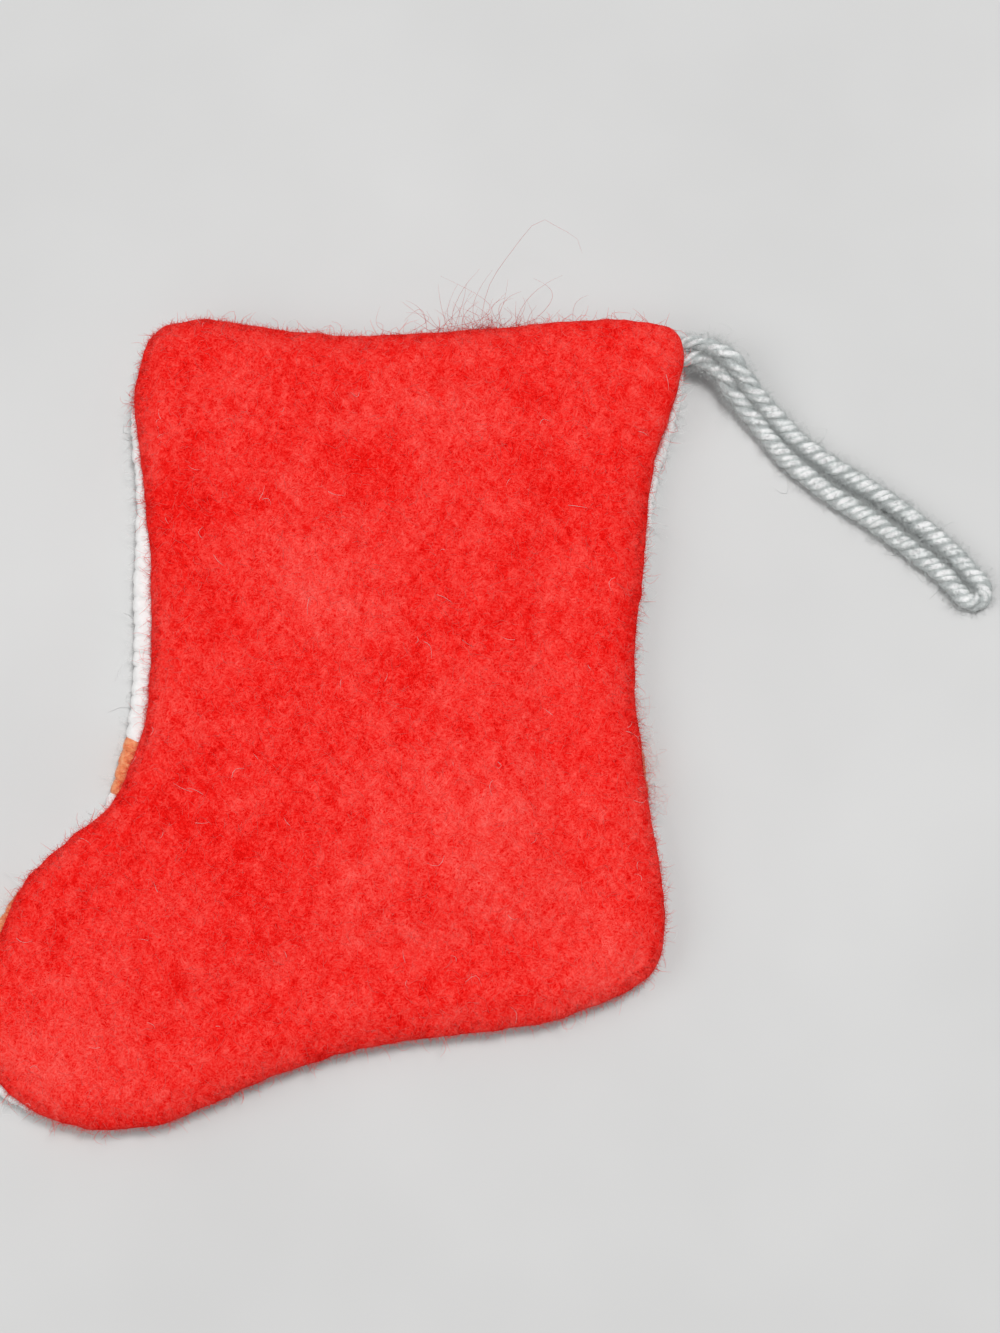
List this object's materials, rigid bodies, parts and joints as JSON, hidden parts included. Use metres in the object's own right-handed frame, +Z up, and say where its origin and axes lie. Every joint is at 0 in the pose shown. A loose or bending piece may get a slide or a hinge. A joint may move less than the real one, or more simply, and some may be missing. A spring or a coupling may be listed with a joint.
{
  "type": "felt-backed stocking ornament",
  "caption": "Flat mini stocking ornament: yarn-stitched canvas front with overcast edge, crowned red wool felt back, open mouth and a yarn hanging loop at its back corner.",
  "frame": {"origin": "middle of the stocking's footprint without its hanging loop, on the surface that it lies on", "axes": "+X from the toe towards the heel, +Y from the toe towards the mouth, +Z up, out of the felt back; the stitched front faces down"},
  "size_m": [0.1278, 0.1028, 0.0082],
  "materials": {
    "red_felt": "fuzzy wool felt",
    "white_yarn": "matte wool",
    "orange_yarn": "matte wool",
    "canvas": "starched open weave",
    "red_thread": "sewing thread",
    "grey_yarn": "soft plied yarn"
  },
  "bodies": {
    "stocking": {"felt_back": "red_felt", "front_canvas": "canvas", "stitches_leg": "white_yarn", "stitches_ankle_band": "orange_yarn", "stitches_foot": "white_yarn", "stitches_toe_band": "orange_yarn", "stitches_toe": "white_yarn", "binding_leg": "white_yarn", "binding_ankle_front": "orange_yarn", "binding_ankle_back": "orange_yarn", "binding_instep": "white_yarn", "binding_sole": "white_yarn", "binding_toe_band_top": "orange_yarn", "binding_toe_band_bottom": "orange_yarn", "binding_toe": "white_yarn", "seam_thread": "red_thread", "hanger_tack": "red_thread"},
    "hanger_root": {"hanger_root": "grey_yarn"},
    "hanger_loop": {"hanger_loop": "grey_yarn"}
  },
  "joints": [
    {"name": "hanger_swing", "type": "hinge", "parent": "stocking", "child": "hanger_root", "pos_m": [0.03968, 0.04674, 0.0048], "axis": [0, 0, 1], "range_deg": [-20, 125]},
    {"name": "hanger_lift", "type": "hinge", "parent": "hanger_root", "child": "hanger_loop", "pos_m": [0.04827, 0.04644, 0.0048], "axis": [-0.0349, -0.9994, 0], "range_deg": [0, 95]}
  ]
}
